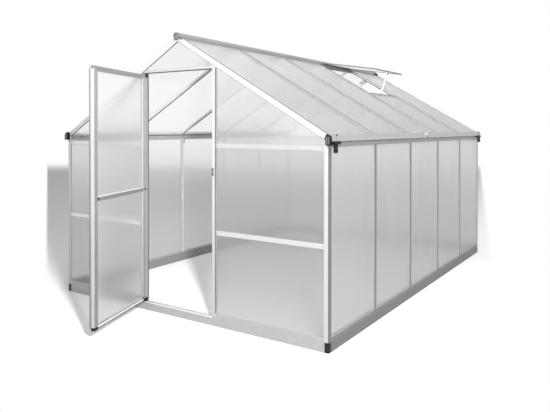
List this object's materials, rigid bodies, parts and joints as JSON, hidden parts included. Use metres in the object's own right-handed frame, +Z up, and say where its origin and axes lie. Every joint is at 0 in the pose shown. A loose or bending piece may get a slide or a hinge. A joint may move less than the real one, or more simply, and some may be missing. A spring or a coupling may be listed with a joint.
{
  "type": "greenhouse",
  "caption": "Walk-in greenhouse with an aluminium frame, twin-wall plastic glazing, a hinged door, an open roof vent and gutters with outlets, on a steel base.",
  "frame": {"origin": "on the ground, at the middle of the front base rail's underside, below the doorway", "axes": "+X to the right across the front gable, +Y from the front gable to the back one, +Z up"},
  "size_m": [2.5, 3.5868, 1.95],
  "materials": {
    "aluminium": "mill-finish extrusion, satin",
    "galvanised_steel": "galvanised, dull",
    "twin_wall_sheet": "translucent twin-wall sheet",
    "black_plastic": "moulded, matt",
    "grey_plastic": "moulded, matt",
    "white_painted_metal": "painted white"
  },
  "bodies": {
    "house": {"base_rails": "galvanised_steel", "corner_feet": "black_plastic", "sills": "aluminium", "corner_posts": "aluminium", "wall_bars": "aluminium", "door_post_left": "aluminium", "door_post_right": "aluminium", "door_header": "aluminium", "front_rafters": "aluminium", "back_rafters": "aluminium", "front_gable_rails": "aluminium", "back_gable_posts": "aluminium", "back_gable_rails": "aluminium", "eave_gutter_left": "aluminium", "eave_gutter_right": "aluminium", "eave_end_caps": "black_plastic", "outlet_saddles": "black_plastic", "outlet_pipes": "black_plastic", "ridge_beam": "aluminium", "ridge_end_caps": "grey_plastic", "roof_bars": "aluminium", "left_wall_panels": "twin_wall_sheet", "right_wall_panels": "twin_wall_sheet", "front_wall_panels": "twin_wall_sheet", "front_gable_panels": "twin_wall_sheet", "back_wall_panels": "twin_wall_sheet", "back_gable_panels": "twin_wall_sheet", "left_roof_panels": "twin_wall_sheet", "right_roof_panels": "twin_wall_sheet", "vent_rail": "aluminium", "vent_hatch_frame": "aluminium", "vent_hatch_panel": "twin_wall_sheet", "vent_stay": "white_painted_metal", "vent_stay_catch": "black_plastic", "door_latch": "grey_plastic", "hinge_brackets": "black_plastic"},
    "door": {"door_hinge_stile": "aluminium", "door_free_stile": "aluminium", "door_rails": "aluminium", "door_panels": "twin_wall_sheet", "door_foot_caps": "black_plastic", "door_head_caps": "grey_plastic"}
  },
  "joints": [
    {"name": "door_hinge", "type": "hinge", "parent": "house", "child": "door", "pos_m": [-0.318, -0.007, 0], "axis": [0, 0, 1], "range_deg": [-23, 69]}
  ]
}
